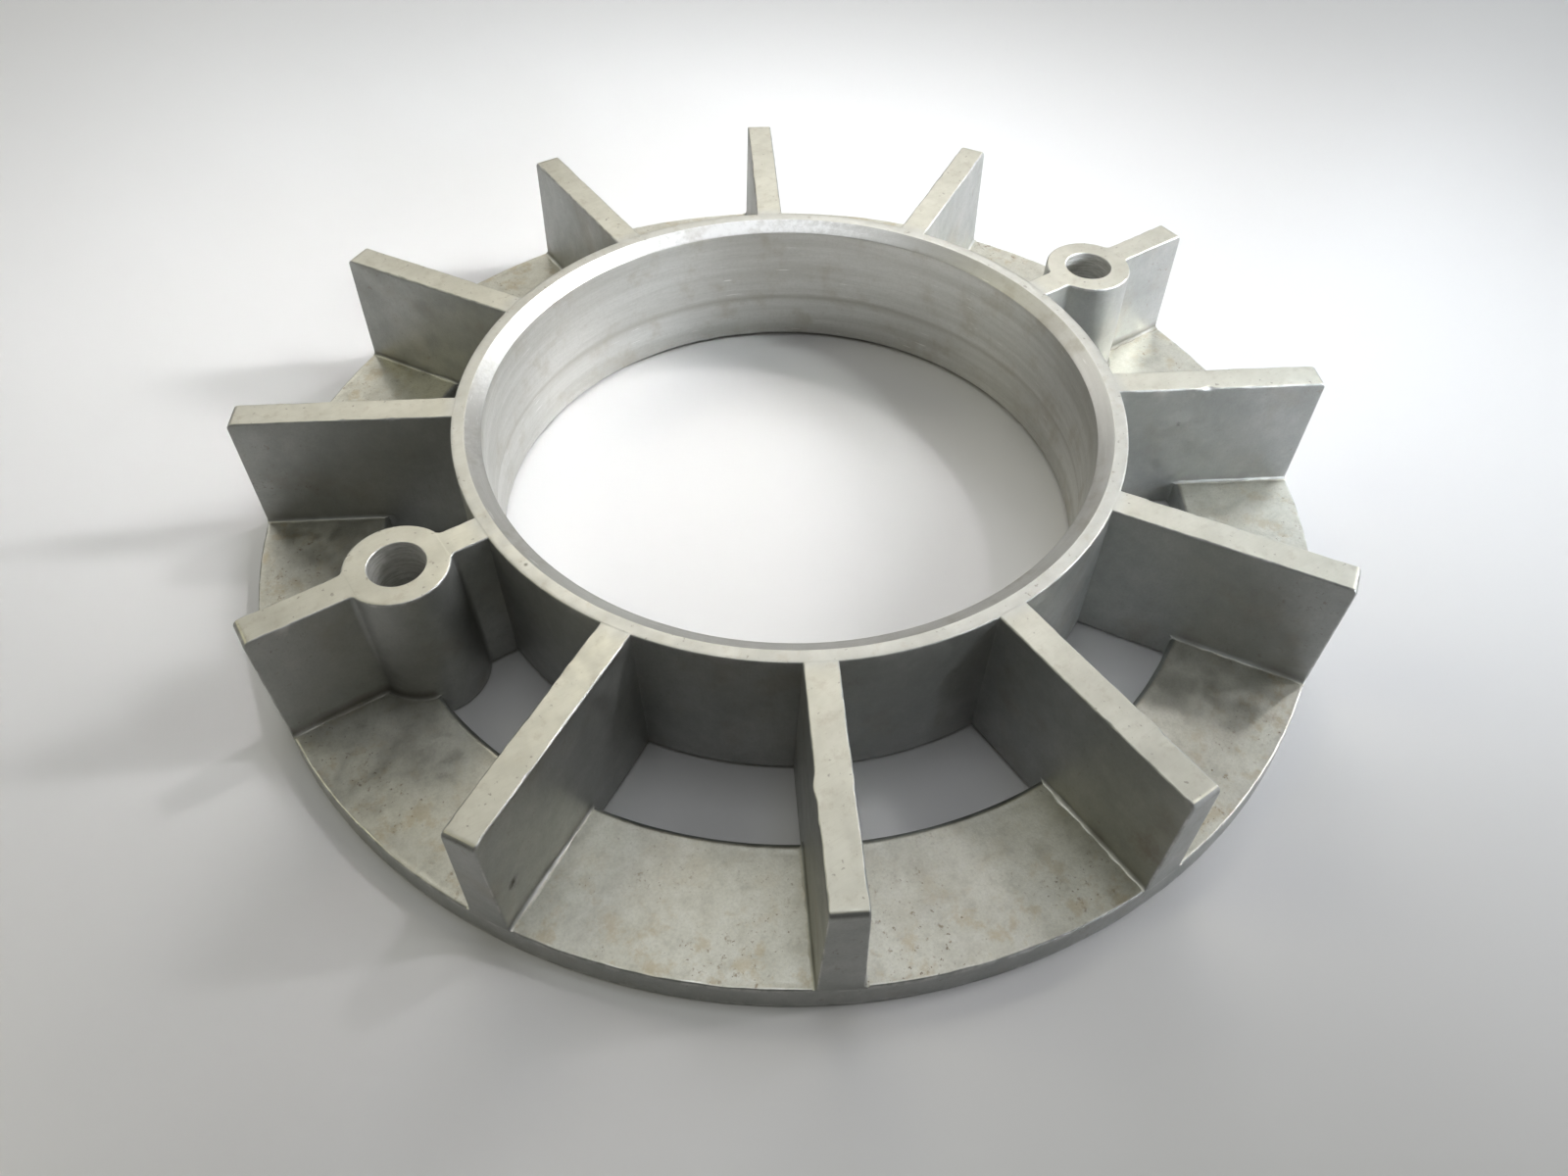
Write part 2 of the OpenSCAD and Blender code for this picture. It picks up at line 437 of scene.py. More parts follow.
class Rib:
    """A fin, blade or web along +X, from a round wall to its free tip or to another round wall.
    A wall is (x of its axis, radius at a height, blend). Nicks and burrs are (x, side, size, half-width)."""

    def __init__(self, inner, outer, seed, nicks, burrs):
        self.inner = inner
        self.outer = outer
        self.seed = seed
        self.nicks = nicks
        self.burrs = burrs
        from_boss = inner[0] > 0
        self.foot_shade = BOSS_FOOT_SHADE if from_boss else FIN_FOOT_SHADE
        self.has_foot = outer is None
        self.crosses_window = self.has_foot and not from_boss
        edge_gaps = [gap for gap, _ in quarter(EDGE, 4)][::-1]
        self.tip_gaps = [gap * MM for gap in (1.3, 1.0, 0.8, 0.6, 0.42)] + edge_gaps
        self.top_gaps = [gap * MM for gap in (1.2, 0.9, 0.7, 0.5)] + edge_gaps
        self.steps = self.flat_steps()
        self.sunk = FLANGE_TOP - 0.4 * MM
        self.rows = self.heights()
        self.outlines = {}

    def flat_steps(self):
        """Steps along each flat stretch of the side."""
        if not self.has_foot:
            return [6]
        return [20, 34] if self.crosses_window else [24]

    def heights(self):
        """Heights of the grid's rows below the rounded top. One row is sunk into the flange."""
        foot = fillet_heights()
        middle = spread(foot[-1], TOP - 1.6 * MM, 12)[1:]
        if self.has_foot and not self.crosses_window:
            return [self.sunk] + foot + middle
        low = [gap for gap, _ in quarter(LOW_EDGE, 5)] + [1.2 * MM]
        return low + [self.sunk] + foot + middle

    def outline(self, z):
        """The side at a height as (x, y, normal, gap to the tip), remembered for each height."""
        key = round(z * 1e8)
        if key not in self.outlines:
            self.outlines[key] = self.new_outline(z)
        return self.outlines[key]

    def new_outline(self, z):
        """The side at a height: a blend, flat stretches, and then the free tip or another blend."""
        half = fin_half(z)
        flat = (0.0, 1.0)
        first = blend_outline(*self.inner, z, 1)
        points = [(x, y, normal, FAR) for x, y, normal in first]
        begin = first[-1][0]
        if self.has_foot:
            tip = tip_wall(max(z, FLANGE_TOP))
            last = [(tip - gap, half, flat, gap) for gap in self.tip_gaps]
        else:
            last = [(x, y, normal, FAR) for x, y, normal in blend_outline(*self.outer, z, -1)[::-1]]
        end = last[0][0]
        window_edge = WINDOW_R + 0.35 * MM
        stops = [begin, window_edge, end] if self.crosses_window else [begin, end]
        for a, b, steps in zip(stops, stops[1:], self.steps):
            points += [(x, half, flat, FAR) for x in spread(a, b, steps)[1:]]
        return points + last[1:]

    def edge_radius(self, x, side):
        """The rounding of the top edge, uneven with wear and deeper at the nicks."""
        place = (x, side * 3 * MM, self.seed)
        fine = 0.45 * wobble(place, 1.5 * MM, self.seed)
        broad = 0.4 * wobble(place, 6 * MM, self.seed)
        radius = EDGE * (0.95 + fine + broad)
        for where, which, depth, width in self.nicks:
            if which == side:
                radius += depth * bulge(x, where, width)
        return radius

    def foot(self, x, z, side):
        """(flare, painted shade) of the foot fillet, which starts where the rib has crossed the window."""
        if not self.has_foot or z > FLANGE_TOP + FOOT_FILLET + 0.01 * MM:
            return 0.0, 0.0
        place = (x, side * 3 * MM, self.seed)
        past_window = within((x - WINDOW_R + 0.1 * MM) / (0.7 * MM))
        uneven = 1 + 0.7 * wobble(place, 1.8 * MM, 4.0)
        # Painted shade in the foot fillet, broken up by noise
        painted_shade = within(self.foot_shade + 0.9 * wobble(place, 4 * MM, 6.0))
        shown = past_window if z > FLANGE_TOP - 0.1 * MM else 0.0
        return past_window * fillet_flare(z) * uneven, painted_shade * shown

    def room_at(self, x, gap, z):
        """Distance to the nearest edge that is rounded."""
        room = min(gap, TOP - z)
        if gap < TIP_CORNER and z > TOP - TIP_CORNER:
            room = TIP_CORNER - math.hypot(TIP_CORNER - gap, z - TOP + TIP_CORNER)
        return min(room, z) if x < WINDOW_R else room

    def waviness(self, x, z, side):
        """The casting's slight waviness, which is stronger along the top edge."""
        broad = 0.03 * MM * wobble((x, z, self.seed + side), 7 * MM, 2.0)
        edge = 0.05 * MM * wobble((x, side * 3 * MM, 0.0), 3 * MM, self.seed)
        return broad + self.near_top(z) * edge

    def near_top(self, z):
        """1 at the top, fading out within a millimetre or two below it."""
        return math.exp(-(TOP - z) / (0.7 * MM))

    def point(self, station, z, side):
        """A point of the side surface and its wear less its painted shade, from a point of the plain
        outline.
        """
        x, y, normal, gap = station
        offset, painted_shade = self.foot(x, z, side)
        low = z < FLANGE_TOP / 2
        edge = LOW_EDGE if low else self.edge_radius(x, side)
        room = self.room_at(x, gap, z)
        if room < edge:
            inner = edge - max(room, 0.0)
            offset -= edge - math.sqrt(edge ** 2 - inner ** 2)
        offset += self.waviness(x, z, side)
        worn_at = 0.35 * edge
        worn = 0.0 if low else max(0.0, 1.0 - abs(room - worn_at) / worn_at)
        for where, which, height, width in self.burrs:
            if which == side:
                burr = self.near_top(z) * bulge(x, where, width)
                offset += height * burr
                worn = max(worn, BURR_WEAR * burr)
        return (x + normal[0] * offset, side * (y + normal[1] * offset), z), worn - painted_shade

    def level_height(self, level, gap):
        """The height of a level: a row, or a line on the rounded top, which dips at the tip's corner."""
        if level < len(self.rows):
            return self.rows[level]
        dip = 0.0
        if gap < TIP_CORNER:
            dip = TIP_CORNER - math.sqrt(TIP_CORNER ** 2 - (TIP_CORNER - gap) ** 2)
        return TOP - dip - self.top_gaps[level - len(self.rows)] * (1 - 0.5 * dip / TIP_CORNER)

    def side_quads(self, levels, stations):
        """Quads over one side's grid, without the part that would hang below the flange's top."""
        past_window = BLEND_STEPS + 1 + self.steps[0]
        sunk_row = self.rows.index(self.sunk)
        quads = []
        for j in range(levels - 1):
            for i in range(stations - 1):
                if self.crosses_window and j < sunk_row and i >= past_window:
                    continue
                a = j * stations + i
                quads.append((a, a + 1, a + 1 + stations, a + stations))
        return quads

    def build(self):
        """(points, faces, wear) of the closed rib along +X."""
        levels = len(self.rows) + len(self.top_gaps)
        tip_gaps = [station[3] for station in self.outline(TOP)]
        points = []
        wear_and_shade = []
        for side in (1, -1):
            for level in range(levels):
                for i, gap in enumerate(tip_gaps):
                    z = self.level_height(level, gap)
                    place, worn = self.point(self.outline(z)[i], z, side)
                    points.append(place)
                    wear_and_shade.append(worn)
        # The sides are the same grid, wound opposite ways, and a strip round their rims joins them
        quads = self.side_quads(levels, len(tip_gaps))
        other = len(points) // 2
        faces = [quad[::-1] for quad in quads]
        faces += [tuple(other + v for v in quad) for quad in quads]
        faces += [(a, b, other + b, other + a) for a, b in rim_of(quads)]
        # The points below the flange's top that no face uses are left out
        used = sorted({v for face in faces for v in face})
        index = {v: k for k, v in enumerate(used)}
        faces = [tuple(index[v] for v in face) for face in faces]
        return [points[v] for v in used], faces, [wear_and_shade[v] for v in used]


def turned(points, angle):
    """The points, turned about Z."""
    c = math.cos(angle)
    s = math.sin(angle)
    return [(x * c - y * s, x * s + y * c, z) for x, y, z in points]


def build_rib(name, node, angle, rib, materials):
    points, faces, wear_and_shade = rib.build()
    mesh_data = (turned(points, angle), faces, wear_and_shade)
    return make_piece(name, mesh_data, node, materials, is_top)


# ---------------------------------------------------------------- the screw bosses

# Gap between a boss's end and the table, roundings of its foot and top, and bevel of the hole's mouths
FLOOR_GAP = 0.02 * MM
BOSS_FOOT_EDGE = 0.2 * MM
BOSS_TOP_EDGE = 0.22 * MM
MOUTH = 0.1 * MM


def boss_side(turn):
    """The outer wall of a boss from its foot upwards, flared where it stands on the flange, with painted
    shade on the flare.
    """
    foot = fillet_heights()
    heights = [FLOOR_GAP + gap for gap, _ in quarter(BOSS_FOOT_EDGE, 4)]
    heights += [1.5 * MM, 3 * MM, FLANGE_TOP - 0.1 * MM]
    heights += foot + spread(foot[-1], TOP - 0.5 * MM, 14)[1:]
    side = []
    for z in heights:
        radius = boss_wall(z)
        painted_shade = 0.0
        if z < FLOOR_GAP + BOSS_FOOT_EDGE:
            inner = BOSS_FOOT_EDGE - (z - FLOOR_GAP)
            radius -= BOSS_FOOT_EDGE - math.sqrt(BOSS_FOOT_EDGE ** 2 - inner ** 2)
        if FLANGE_TOP - 0.2 * MM < z < FLANGE_TOP + FOOT_FILLET + 0.01 * MM:
            flared = radius + fillet_flare(z)
            reach = math.hypot(BOSS_ORBIT + flared * math.cos(turn), flared * math.sin(turn))
            past_window = within((reach - WINDOW_R) / (0.8 * MM))
            radius += fillet_flare(z) * past_window
            # Painted shade on the boss's foot fillet
            painted_shade = 0.9 * past_window
        side.append((radius, z, -painted_shade))
    return side


def boss_section(turn):
    """The section of a boss round its hole's axis: outer wall, top, hole and underside."""
    top = TOP - FLUSH
    section = boss_side(turn)
    section += [(boss_wall(top) - out, top - down, 1.0) for out, down in quarter(BOSS_TOP_EDGE, 4)]
    section += [(r, top, 0.0) for r in spread(boss_wall(top) - 0.5 * MM, HOLE_R + MOUTH + 0.1 * MM, 4)]
    section += [(HOLE_R + MOUTH, top, 1.0), (HOLE_R, top - MOUTH, 1.0)]
    section += [(HOLE_R, z, 0.0) for z in spread(top - 1 * MM, 1 * MM, 10)]
    section += [(HOLE_R, FLOOR_GAP + MOUTH, 1.0), (HOLE_R + MOUTH, FLOOR_GAP, 1.0)]
    section += [(r, FLOOR_GAP, 0.0) for r in spread(HOLE_R + MOUTH + 0.2 * MM, boss_wall(0) - 0.6 * MM, 3)]
    return section


def build_boss(name, node, angle, materials):
    """A tapered boss with a through hole."""
    points, faces, wear_and_shade = lathe(boss_section, BOSS_SEGMENTS)
    points = turned([(x + BOSS_ORBIT, y, z) for x, y, z in points], angle)
    axis = Vector(at_angle(BOSS_ORBIT, angle))

    def choose(polygon):
        from_axis = (polygon.center - axis).to_2d().length
        return 2 if from_axis < HOLE_R + 0.5 * MOUTH else is_top(polygon)
    return make_piece(name, (points, faces, wear_and_shade), node, materials, choose)


# ---------------------------------------------------------------- materials

class Shader:
    """A few words for building a node material. Places and sizes in it are in millimetres."""

    def __init__(self, name):
        self.material = bpy.data.materials.new(name)
        self.material.use_nodes = True
        self.tree = self.material.node_tree
        self.surface = self.tree.nodes["Principled BSDF"]
        self.place = self.node("ShaderNodeTexCoord").outputs["Object"]

    def node(self, kind, **values):
        made = self.tree.nodes.new(kind)
        for key, value in values.items():
            setattr(made, key, value)
        return made

    def join(self, source, target):
        if isinstance(source, (int, float, tuple)):
            target.default_value = source
        else:
            self.tree.links.new(source, target)

    def set_surface(self, **values):
        """Sets sockets of the surface, whose names are written with _ for a space."""
        for name, value in values.items():
            self.join(value, self.surface.inputs[name.replace("_", " ")])

    def maths(self, operation, a, b=0.0, clamp=False):
        made = self.node("ShaderNodeMath", operation=operation, use_clamp=clamp)
        self.join(a, made.inputs[0])
        self.join(b, made.inputs[1])
        return made.outputs[0]

    def times(self, a, b):
        """The product of two values."""
        return self.maths("MULTIPLY", a, b)

    def from_level(self, value, level):
        """How far a value is from a level, whichever side it lies on."""
        return self.maths("ABSOLUTE", self.maths("SUBTRACT", value, level))

    def stretched(self, scale=(1, 1, 1)):
        """The place on the object, times a scale for each axis."""
        made = self.node("ShaderNodeVectorMath", operation="MULTIPLY")
        self.join(self.place, made.inputs[0])
        made.inputs[1].default_value = tuple(s / MM for s in scale)
        return made.outputs[0]

    def noise(self, scale, detail=2.0, roughness=0.5, where=None):
        """Noise with the given number of features in a millimetre."""
        made = self.node("ShaderNodeTexNoise", noise_dimensions="3D")
        self.join(where or self.stretched(), made.inputs["Vector"])
        made.inputs["Scale"].default_value = scale
        made.inputs["Detail"].default_value = detail
        made.inputs["Roughness"].default_value = roughness
        return made.outputs["Fac"]

    def ramp(self, value, low, high, start=0.0, stop=1.0):
        """value between low and high, mapped smoothly to start and stop."""
        made = self.node("ShaderNodeMapRange", interpolation_type="SMOOTHSTEP")
        self.join(value, made.inputs["Value"])
        for key, number in zip(("From Min", "From Max", "To Min", "To Max"), (low, high, start, stop)):
            made.inputs[key].default_value = number
        return made.outputs["Result"]

    def mix(self, share, a, b):
        """Colour a where share is 0 and b where it is 1."""
        made = self.node("ShaderNodeMix", data_type="RGBA")
        self.join(share, made.inputs["Factor"])
        self.join(a, made.inputs[6])
        self.join(b, made.inputs[7])
        return made.outputs[2]

    def bump(self, height, depth, below=None):
        """A bump of that depth over the height, which runs from 0 to 1."""
        made = self.node("ShaderNodeBump")
        self.join(height, made.inputs["Height"])
        made.inputs["Distance"].default_value = depth * MM
        if below is not None:
            self.join(below, made.inputs["Normal"])
        return made.outputs["Normal"]

    def wear_and_shade(self):
        """The piece's wear_and_shade attribute: 1 on rubbed edges, and below 0 where shade is painted in
        corners.
        """
        return self.node("ShaderNodeAttribute", attribute_name="wear_and_shade").outputs["Fac"]

    def radius(self):
        """Distance from the object's axis."""
        made = self.node("ShaderNodeVectorMath", operation="LENGTH")
        self.join(self.stretched((1, 1, 0)), made.inputs[0])
        return made.outputs["Value"]

    def spot(self, radius, azimuth, height, size):
        """1 at a place on the object and 0 beyond the given size from it, with a ragged edge."""
        turn = math.radians(azimuth)
        away = self.node("ShaderNodeVectorMath", operation="DISTANCE")
        self.join(self.stretched(), away.inputs[0])
        away.inputs[1].default_value = (radius * math.cos(turn), radius * math.sin(turn), height)
        raggedness = self.times(self.noise(1.2, 4, 0.7), 2 * size)
        ragged = self.maths("ADD", away.outputs["Value"], raggedness)
        return self.ramp(ragged, size, 2.2 * size, 1.0, 0.0)

    def facing_up(self):
        """1 on faces that lie flat, and 0 on walls."""
        normal = self.node("ShaderNodeSeparateXYZ")
        self.join(self.node("ShaderNodeNewGeometry").outputs["Normal"], normal.inputs[0])
        return self.ramp(normal.outputs["Z"], 0.85, 0.98)


def rgb(red, green, blue):
    return (red, green, blue, 1.0)


# Cast skin
# Walls are painted darker and greyer than flats as painted shade, and flats lighter and warmer as painted
# light
SHADED_WALL_DARK = rgb(0.395, 0.405, 0.39)
SHADED_WALL_PALE = rgb(0.465, 0.47, 0.455)
LIT_FLAT_DARK = rgb(0.56, 0.55, 0.475)
LIT_FLAT_PALE = rgb(0.64, 0.63, 0.55)
CHALKY = rgb(0.74, 0.735, 0.68)
DULL_PATCH = rgb(0.33, 0.32, 0.275)
GRAIN_GREY = rgb(0.30, 0.295, 0.265)
OIL_SMEAR = rgb(0.33, 0.285, 0.215)
TAN_STAIN = rgb(0.46, 0.39, 0.26)
BROWN_BLOT = rgb(0.21, 0.145, 0.085)
BROWN_SPECK = rgb(0.16, 0.11, 0.07)
PIT_BLACK = rgb(0.05, 0.045, 0.03)
RUSTY = rgb(0.24, 0.16, 0.085)
RUBBED_EDGE = rgb(0.80, 0.795, 0.77)
# Painted shade laid into the foot fillets of fins and bosses
CORNER_SHADE = rgb(0.20, 0.19, 0.16)
# Linished tops
FIN_TOP_DARK = rgb(0.57, 0.555, 0.475)
FIN_TOP_PALE = rgb(0.65, 0.635, 0.55)
LAND_DARK = rgb(0.53, 0.525, 0.48)
LAND_PALE = rgb(0.61, 0.605, 0.56)
SCRATCH_BROWN = rgb(0.50, 0.475, 0.40)
TOP_STAIN = rgb(0.45, 0.41, 0.33)
TOP_PIT = rgb(0.26, 0.23, 0.19)
DEEP_PIT = rgb(0.10, 0.09, 0.07)
# Turned and drilled metal
TURNED_DARK = rgb(0.56, 0.555, 0.52)
TURNED_PALE = rgb(0.66, 0.655, 0.625)
TOOL_MARK = rgb(0.40, 0.395, 0.37)
TURNED_GRAIN = rgb(0.42, 0.41, 0.375)
STEP_SHADE = rgb(0.36, 0.34, 0.29)
POLISHED_BAND = rgb(0.76, 0.755, 0.73)
CHAMFER_PALE = rgb(0.80, 0.795, 0.76)
# Painted highlight and painted shade on the chamfer
CHAMFER_HIGHLIGHT = rgb(0.97, 0.965, 0.95)
CHAMFER_SHADE = rgb(0.40, 0.39, 0.36)
SMUDGE = rgb(0.42, 0.385, 0.31)
BRIGHT_SCRATCH = rgb(0.90, 0.89, 0.87)
DRILLED_DARK = rgb(0.62, 0.615, 0.58)
DRILLED_PALE = rgb(0.88, 0.875, 0.85)

# The marks that stand out most: radius, azimuth, height and size, in millimetres and degrees
DARK_PITS = [(73.0, 211.8, 10.0, 0.9), (56.0, 328.0, 15.5, 0.5), (66.5, 331.0, 14.0, 0.4)]
RUSTY_SMEARS = [(73.5, 268.2, 10.0, 2.6), (73.5, 292.0, 4.0, 1.5)]
LAND_PIT = (44.8, 191.0, 21.8, 0.35)
# Where the chamfer carries a painted highlight, and where it carries painted shade
CHAMFER_HIGHLIGHT_SPOT = (43.2, 72.0, 21.0, 24.0)
CHAMFER_SHADE_SPOT = (43.2, 150.0, 21.0, 12.0)


def cast_ground(s, up, mottle, grain):
    """The plain cast colour with mottling and grain, walls painted darker and greyer as painted shade and
    flats lighter and warmer as painted light.
    """
    clouds = s.ramp(s.noise(0.08, 4, 0.55), 0.32, 0.68)
    # Painted light and shade: flats take the lighter, warmer colours and walls the darker ones
    colour = s.mix(up, s.mix(clouds, SHADED_WALL_DARK, SHADED_WALL_PALE), s.mix(clouds, LIT_FLAT_DARK, LIT_FLAT_PALE))
    strength = s.ramp(up, 0, 1, 0.3, 1.0)
    chalky = s.ramp(mottle, 0.45, 0.72, 0.0, 0.35)
    colour = s.mix(s.times(chalky, strength), colour, CHALKY)
    dull = s.ramp(mottle, 0.28, 0.5, 0.3, 0.0)
    colour = s.mix(s.times(dull, strength), colour, DULL_PATCH)
    return s.mix(s.ramp(grain, 0.35, 0.8, 0.0, 0.25), colour, GRAIN_GREY)


def with_stains(s, up, colour):
    """Oily smears everywhere and tan stains that gather on the flange near its rim."""
    smears = s.ramp(s.noise(0.13, 3, 0.6), 0.52, 0.75, 0.0, 0.3)
    colour = s.mix(s.times(smears, s.ramp(up, 0, 1, 1, 0.5)), colour, OIL_SMEAR)
    stains = s.ramp(s.noise(0.25, 5, 0.7), 0.50, 0.64)
    outwards = s.ramp(s.radius(), 62, 74, 0.15, 0.6)
    return s.mix(s.times(s.times(stains, outwards), up), colour, TAN_STAIN)


def with_specks(s, up, colour):
    """Brown blots and specks in loose clusters, more of them on flats and near the rim."""
    clusters = s.ramp(s.noise(0.12, 2), 0.40, 0.56)
    clusters = s.times(clusters, s.ramp(up, 0, 1, 0.45, 0.9))
    clusters = s.times(clusters, s.ramp(s.radius(), 59, 72, 0.4, 1.0))
    blots = s.ramp(s.noise(0.9, 3, 0.62), 0.61, 0.74, 0.0, 0.75)
    colour = s.mix(s.times(blots, clusters), colour, BROWN_BLOT)
    specks = s.ramp(s.noise(1.7, 2, 0.6), 0.645, 0.74, 0.0, 0.8)
    return s.mix(s.times(specks, clusters), colour, BROWN_SPECK)


def with_marks(s, colour):
    """The single pits and smears."""
    for place in DARK_PITS:
        colour = s.mix(s.times(s.spot(*place), 0.85), colour, PIT_BLACK)
    for place in RUSTY_SMEARS:
        colour = s.mix(s.times(s.spot(*place), 0.3), colour, RUSTY)
    return colour


def cast_skin():
    """Die-cast aluminium: satin grey with a fine grain, stains, brown specks, drag marks, worn edges and
    painted shade in the foot fillets.
    """
    s = Shader("cast_skin")
    up = s.facing_up()
    mottle = s.noise(0.6, 4, 0.65)
    grain = s.noise(3.0, 3, 0.6)
    colour = cast_ground(s, up, mottle, grain)
    colour = with_stains(s, up, colour)
    colour = with_specks(s, up, colour)
    colour = with_marks(s, colour)
    patchy = s.maths("MULTIPLY", s.wear_and_shade(), s.ramp(s.noise(0.5, 3), 0.42, 0.58), clamp=True)
    rubbed = s.maths("MAXIMUM", patchy, s.maths("SUBTRACT", s.wear_and_shade(), 0.6))
    colour = s.mix(s.times(rubbed, 0.6), colour, RUBBED_EDGE)
    # Painted shade where wear_and_shade is below 0, in the foot fillets; it also roughens them
    painted_shade = s.maths("MULTIPLY", s.wear_and_shade(), -0.85, clamp=True)
    colour = s.mix(painted_shade, colour, CORNER_SHADE)
    rough = s.ramp(s.noise(0.35, 4, 0.6), 0.3, 0.7, 0.44, 0.58)
    rough = s.maths("SUBTRACT", rough, s.times(up, 0.11))
    rough = s.maths("ADD", rough, s.times(painted_shade, 0.2))
    rough = s.maths("SUBTRACT", rough, s.times(rubbed, 0.08))
    drag = s.noise(2.2, 3, 0.6, s.stretched((1, 1, 0.06)))
    uneven = s.bump(s.times(drag, s.maths("SUBTRACT", 1.0, up)), 0.014)
    normal = s.bump(mottle, 0.02, s.bump(grain, 0.010, uneven))
    s.set_surface(Base_Color=colour, Metallic=1.0, Roughness=rough, Normal=normal)
    return s.material


def linished_top():
    """The tops, rubbed flat on an abrasive belt: pale and warm, with faint scratches and pits."""
    s = Shader("linished_top")
    clouds = s.ramp(s.noise(0.25, 4, 0.6), 0.3, 0.7)
    fins = s.mix(clouds, FIN_TOP_DARK, FIN_TOP_PALE)
    land = s.mix(clouds, LAND_DARK, LAND_PALE)
    edge_of_land = HUB_TOP_R / MM
    colour = s.mix(s.ramp(s.radius(), edge_of_land - 0.5, edge_of_land + 2), land, fins)
    scratches = s.noise(1.3, 4, 0.7, s.stretched((0.2, 3.0, 1.0)))
    colour = s.mix(s.ramp(scratches, 0.45, 0.8, 0.0, 0.3), colour, SCRATCH_BROWN)
    colour = s.mix(s.ramp(s.noise(0.7, 4, 0.65), 0.52, 0.72, 0.0, 0.4), colour, TOP_STAIN)
    pits = s.ramp(s.noise(1.2, 2, 0.5), 0.68, 0.74)
    colour = s.mix(s.times(pits, 0.6), colour, TOP_PIT)
    colour = s.mix(s.times(s.spot(*LAND_PIT), 0.8), colour, DEEP_PIT)
    rough = s.ramp(s.noise(0.6, 3), 0.3, 0.7, 0.37, 0.48)
    s.set_surface(Base_Color=colour, Metallic=1.0, Roughness=rough, Normal=s.bump(scratches, 0.006))
    return s.material


def round_the_axis(s, place):
    """A place for noise that runs in rings round the object's axis and is drawn out along them."""
    rings = s.node("ShaderNodeCombineXYZ")
    s.join(s.times(place.outputs["X"], 0.06), rings.inputs["X"])
    s.join(s.times(place.outputs["Y"], 0.06), rings.inputs["Y"])
    s.join(s.maths("ADD", place.outputs["Z"], s.radius()), rings.inputs["Z"])
    return rings.outputs[0]


def with_bore_bands(s, height, colour):
    """The painted shade line under the bore's step, and a polished band below it."""
    step = STEP_Z / MM
    # Painted shade along the line under the step
    line = s.ramp(s.from_level(height, step - 0.2), 0.1, 0.9, 0.4, 0.0)
    colour = s.mix(line, colour, STEP_SHADE)
    band = s.ramp(s.from_level(height, step - 2.4), 0.5, 1.6, 0.25, 0.0)
    return s.mix(band, colour, POLISHED_BAND)


def with_chamfer(s, height, colour):
    """The lead-in chamfer, paler than the bore, with a painted highlight at the back and painted shade on
    one side.
    """
    chamfer = s.ramp(height, LEAD_IN_Z / MM - 0.1, LEAD_IN_Z / MM + 0.2)
    colour = s.mix(s.times(chamfer, 0.4), colour, CHAMFER_PALE)
    # Painted highlight at the back of the chamfer
    rubbed = s.times(s.spot(*CHAMFER_HIGHLIGHT_SPOT), chamfer)
    colour = s.mix(s.times(rubbed, 0.9), colour, CHAMFER_HIGHLIGHT)
    # Painted shade on one side of the chamfer
    dull = s.times(s.spot(*CHAMFER_SHADE_SPOT), chamfer)
    return s.mix(s.times(dull, 0.6), colour, CHAMFER_SHADE)


def turned_bore():
    """The turned land, chamfer and bore: bright, with fine marks that run round the axis."""
    s = Shader("turned_bore")
    place = s.node("ShaderNodeSeparateXYZ")
    s.join(s.stretched(), place.inputs[0])
    height = place.outputs["Z"]
    rings = round_the_axis(s, place)
    marks = s.noise(5.0, 3, 0.6, rings)
    bands = s.ramp(s.noise(0.6, 2, 0.5, rings), 0.3, 0.7)
    grain = s.noise(2.2, 3, 0.65)
    colour = s.mix(bands, TURNED_DARK, TURNED_PALE)
    colour = s.mix(s.ramp(marks, 0.4, 0.75, 0.0, 0.12), colour, TOOL_MARK)
    colour = s.mix(s.ramp(grain, 0.4, 0.75, 0.0, 0.22), colour, TURNED_GRAIN)
    colour = with_bore_bands(s, height, colour)
    colour = with_chamfer(s, height, colour)
    smudges = s.ramp(s.noise(0.16, 4, 0.65), 0.50, 0.72, 0.0, 0.45)
    colour = s.mix(smudges, colour, SMUDGE)
    scratches = s.ramp(s.noise(1.6, 2, 0.5, s.stretched((0.12, 0.12, 2.2))), 0.70, 0.76)
    colour = s.mix(s.times(scratches, 0.7), colour, BRIGHT_SCRATCH)
    rough = s.ramp(marks, 0.3, 0.7, 0.34, 0.46)
    around = s.node("ShaderNodeTangent", direction_type="RADIAL", axis="Z").outputs[0]
    s.set_surface(Base_Color=colour, Metallic=1.0, Roughness=rough, Normal=s.bump(marks, 0.006))
    s.set_surface(Tangent=around, Anisotropic=0.55, Anisotropic_Rotation=0.25)
    return s.material


def drilled_hole():
    """The walls of the screw holes: bright and rough, with rings left by the drill."""
    s = Shader("drilled_hole")
    rings = s.noise(1.6, 3, 0.6, s.stretched((0.25, 0.25, 1.6)))
    colour = s.mix(s.ramp(rings, 0.3, 0.7), DRILLED_DARK, DRILLED_PALE)
    rough = s.ramp(s.noise(2.5, 3), 0.3, 0.7, 0.45, 0.7)
    s.set_surface(Base_Color=colour, Metallic=1.0, Roughness=rough, Normal=s.bump(rings, 0.12))
    return s.material


def floor_paint():
    """A plain pale table top with a slight gloss."""
    s = Shader("floor_paint")
    s.set_surface(Base_Color=rgb(0.74, 0.735, 0.735), Roughness=0.35, IOR=1.7)
    return s.material


# ---------------------------------------------------------------- building the object

def random_nicks(rng):
    """A few nicks in the top edges of one fin."""
    nicks = []
    for _ in range(rng.integers(2, 5)):
        where = rng.uniform(HUB_TOP_R + 4 * MM, TIP_TOP_R)
        side = rng.choice((-1, 1))
        depth = rng.uniform(0.10, 0.30) * MM
        nicks.append((where, side, depth, rng.uniform(0.3, 0.7) * MM))
    return nicks


